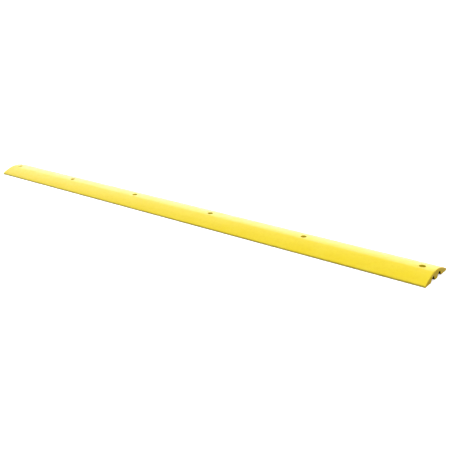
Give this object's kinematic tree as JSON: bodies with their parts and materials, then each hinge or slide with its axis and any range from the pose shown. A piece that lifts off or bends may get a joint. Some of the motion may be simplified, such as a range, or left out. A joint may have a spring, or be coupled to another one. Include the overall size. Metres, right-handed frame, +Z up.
{
  "type": "rubber speed bump",
  "caption": "Long low yellow rubber bump with a domed ramp on both sides and cable channels underneath, bolted to the road to slow vehicles.",
  "frame": {"origin": "on the underside of the bump, at the middle of its length and width, so the road surface is z = 0", "axes": "+X along the bump, +Y across it in the direction of traffic, +Z up"},
  "size_m": [3.6576, 0.254, 0.099],
  "materials": {
    "bump_rubber": "matt yellow rubber, coloured right through",
    "bolt_steel": "zinc plated, satin",
    "washer_steel": "zinc plated, satin",
    "shield_alloy": "as-cast zinc alloy, dull"
  },
  "bodies": {
    "bump": {"bump_body": "bump_rubber", "lag_shield_1": "shield_alloy", "lag_shield_2": "shield_alloy", "lag_shield_3": "shield_alloy", "lag_shield_4": "shield_alloy", "lag_shield_5": "shield_alloy", "lag_shield_6": "shield_alloy"},
    "washer_1": {"washer_1": "washer_steel"},
    "bolt_1": {"lag_bolt_1": "bolt_steel"},
    "washer_2": {"washer_2": "washer_steel"},
    "bolt_2": {"lag_bolt_2": "bolt_steel"},
    "washer_3": {"washer_3": "washer_steel"},
    "bolt_3": {"lag_bolt_3": "bolt_steel"},
    "washer_4": {"washer_4": "washer_steel"},
    "bolt_4": {"lag_bolt_4": "bolt_steel"},
    "washer_5": {"washer_5": "washer_steel"},
    "bolt_5": {"lag_bolt_5": "bolt_steel"},
    "washer_6": {"washer_6": "washer_steel"},
    "bolt_6": {"lag_bolt_6": "bolt_steel"}
  },
  "joints": [
    {"name": "washer_1_lift", "type": "slide", "parent": "bump", "child": "washer_1", "axis": [0, 0, 1], "range_m": [0, 0.04717]},
    {"name": "bolt_1_unscrew", "type": "hinge", "parent": "washer_1", "child": "bolt_1", "pos_m": [-1.755, 0, 0.028], "axis": [0, 0, 1], "range_deg": [0, 4680]},
    {"name": "washer_2_lift", "type": "slide", "parent": "bump", "child": "washer_2", "axis": [0, 0, 1], "range_m": [0, 0.04717]},
    {"name": "bolt_2_unscrew", "type": "hinge", "parent": "washer_2", "child": "bolt_2", "pos_m": [-1.053, 0, 0.028], "axis": [0, 0, 1], "range_deg": [0, 4680]},
    {"name": "washer_3_lift", "type": "slide", "parent": "bump", "child": "washer_3", "axis": [0, 0, 1], "range_m": [0, 0.04717]},
    {"name": "bolt_3_unscrew", "type": "hinge", "parent": "washer_3", "child": "bolt_3", "pos_m": [-0.351, 0, 0.028], "axis": [0, 0, 1], "range_deg": [0, 4680]},
    {"name": "washer_4_lift", "type": "slide", "parent": "bump", "child": "washer_4", "axis": [0, 0, 1], "range_m": [0, 0.04717]},
    {"name": "bolt_4_unscrew", "type": "hinge", "parent": "washer_4", "child": "bolt_4", "pos_m": [0.351, 0, 0.028], "axis": [0, 0, 1], "range_deg": [0, 4680]},
    {"name": "washer_5_lift", "type": "slide", "parent": "bump", "child": "washer_5", "axis": [0, 0, 1], "range_m": [0, 0.04717]},
    {"name": "bolt_5_unscrew", "type": "hinge", "parent": "washer_5", "child": "bolt_5", "pos_m": [1.053, 0, 0.028], "axis": [0, 0, 1], "range_deg": [0, 4680]},
    {"name": "washer_6_lift", "type": "slide", "parent": "bump", "child": "washer_6", "axis": [0, 0, 1], "range_m": [0, 0.04717]},
    {"name": "bolt_6_unscrew", "type": "hinge", "parent": "washer_6", "child": "bolt_6", "pos_m": [1.755, 0, 0.028], "axis": [0, 0, 1], "range_deg": [0, 4680]}
  ],
  "couplings": [
    {"joint": "bolt_1_unscrew", "follows": "washer_1_lift", "rad_per_m": 1731.6},
    {"joint": "bolt_2_unscrew", "follows": "washer_2_lift", "rad_per_m": 1731.6},
    {"joint": "bolt_3_unscrew", "follows": "washer_3_lift", "rad_per_m": 1731.6},
    {"joint": "bolt_4_unscrew", "follows": "washer_4_lift", "rad_per_m": 1731.6},
    {"joint": "bolt_5_unscrew", "follows": "washer_5_lift", "rad_per_m": 1731.6},
    {"joint": "bolt_6_unscrew", "follows": "washer_6_lift", "rad_per_m": 1731.6}
  ]
}
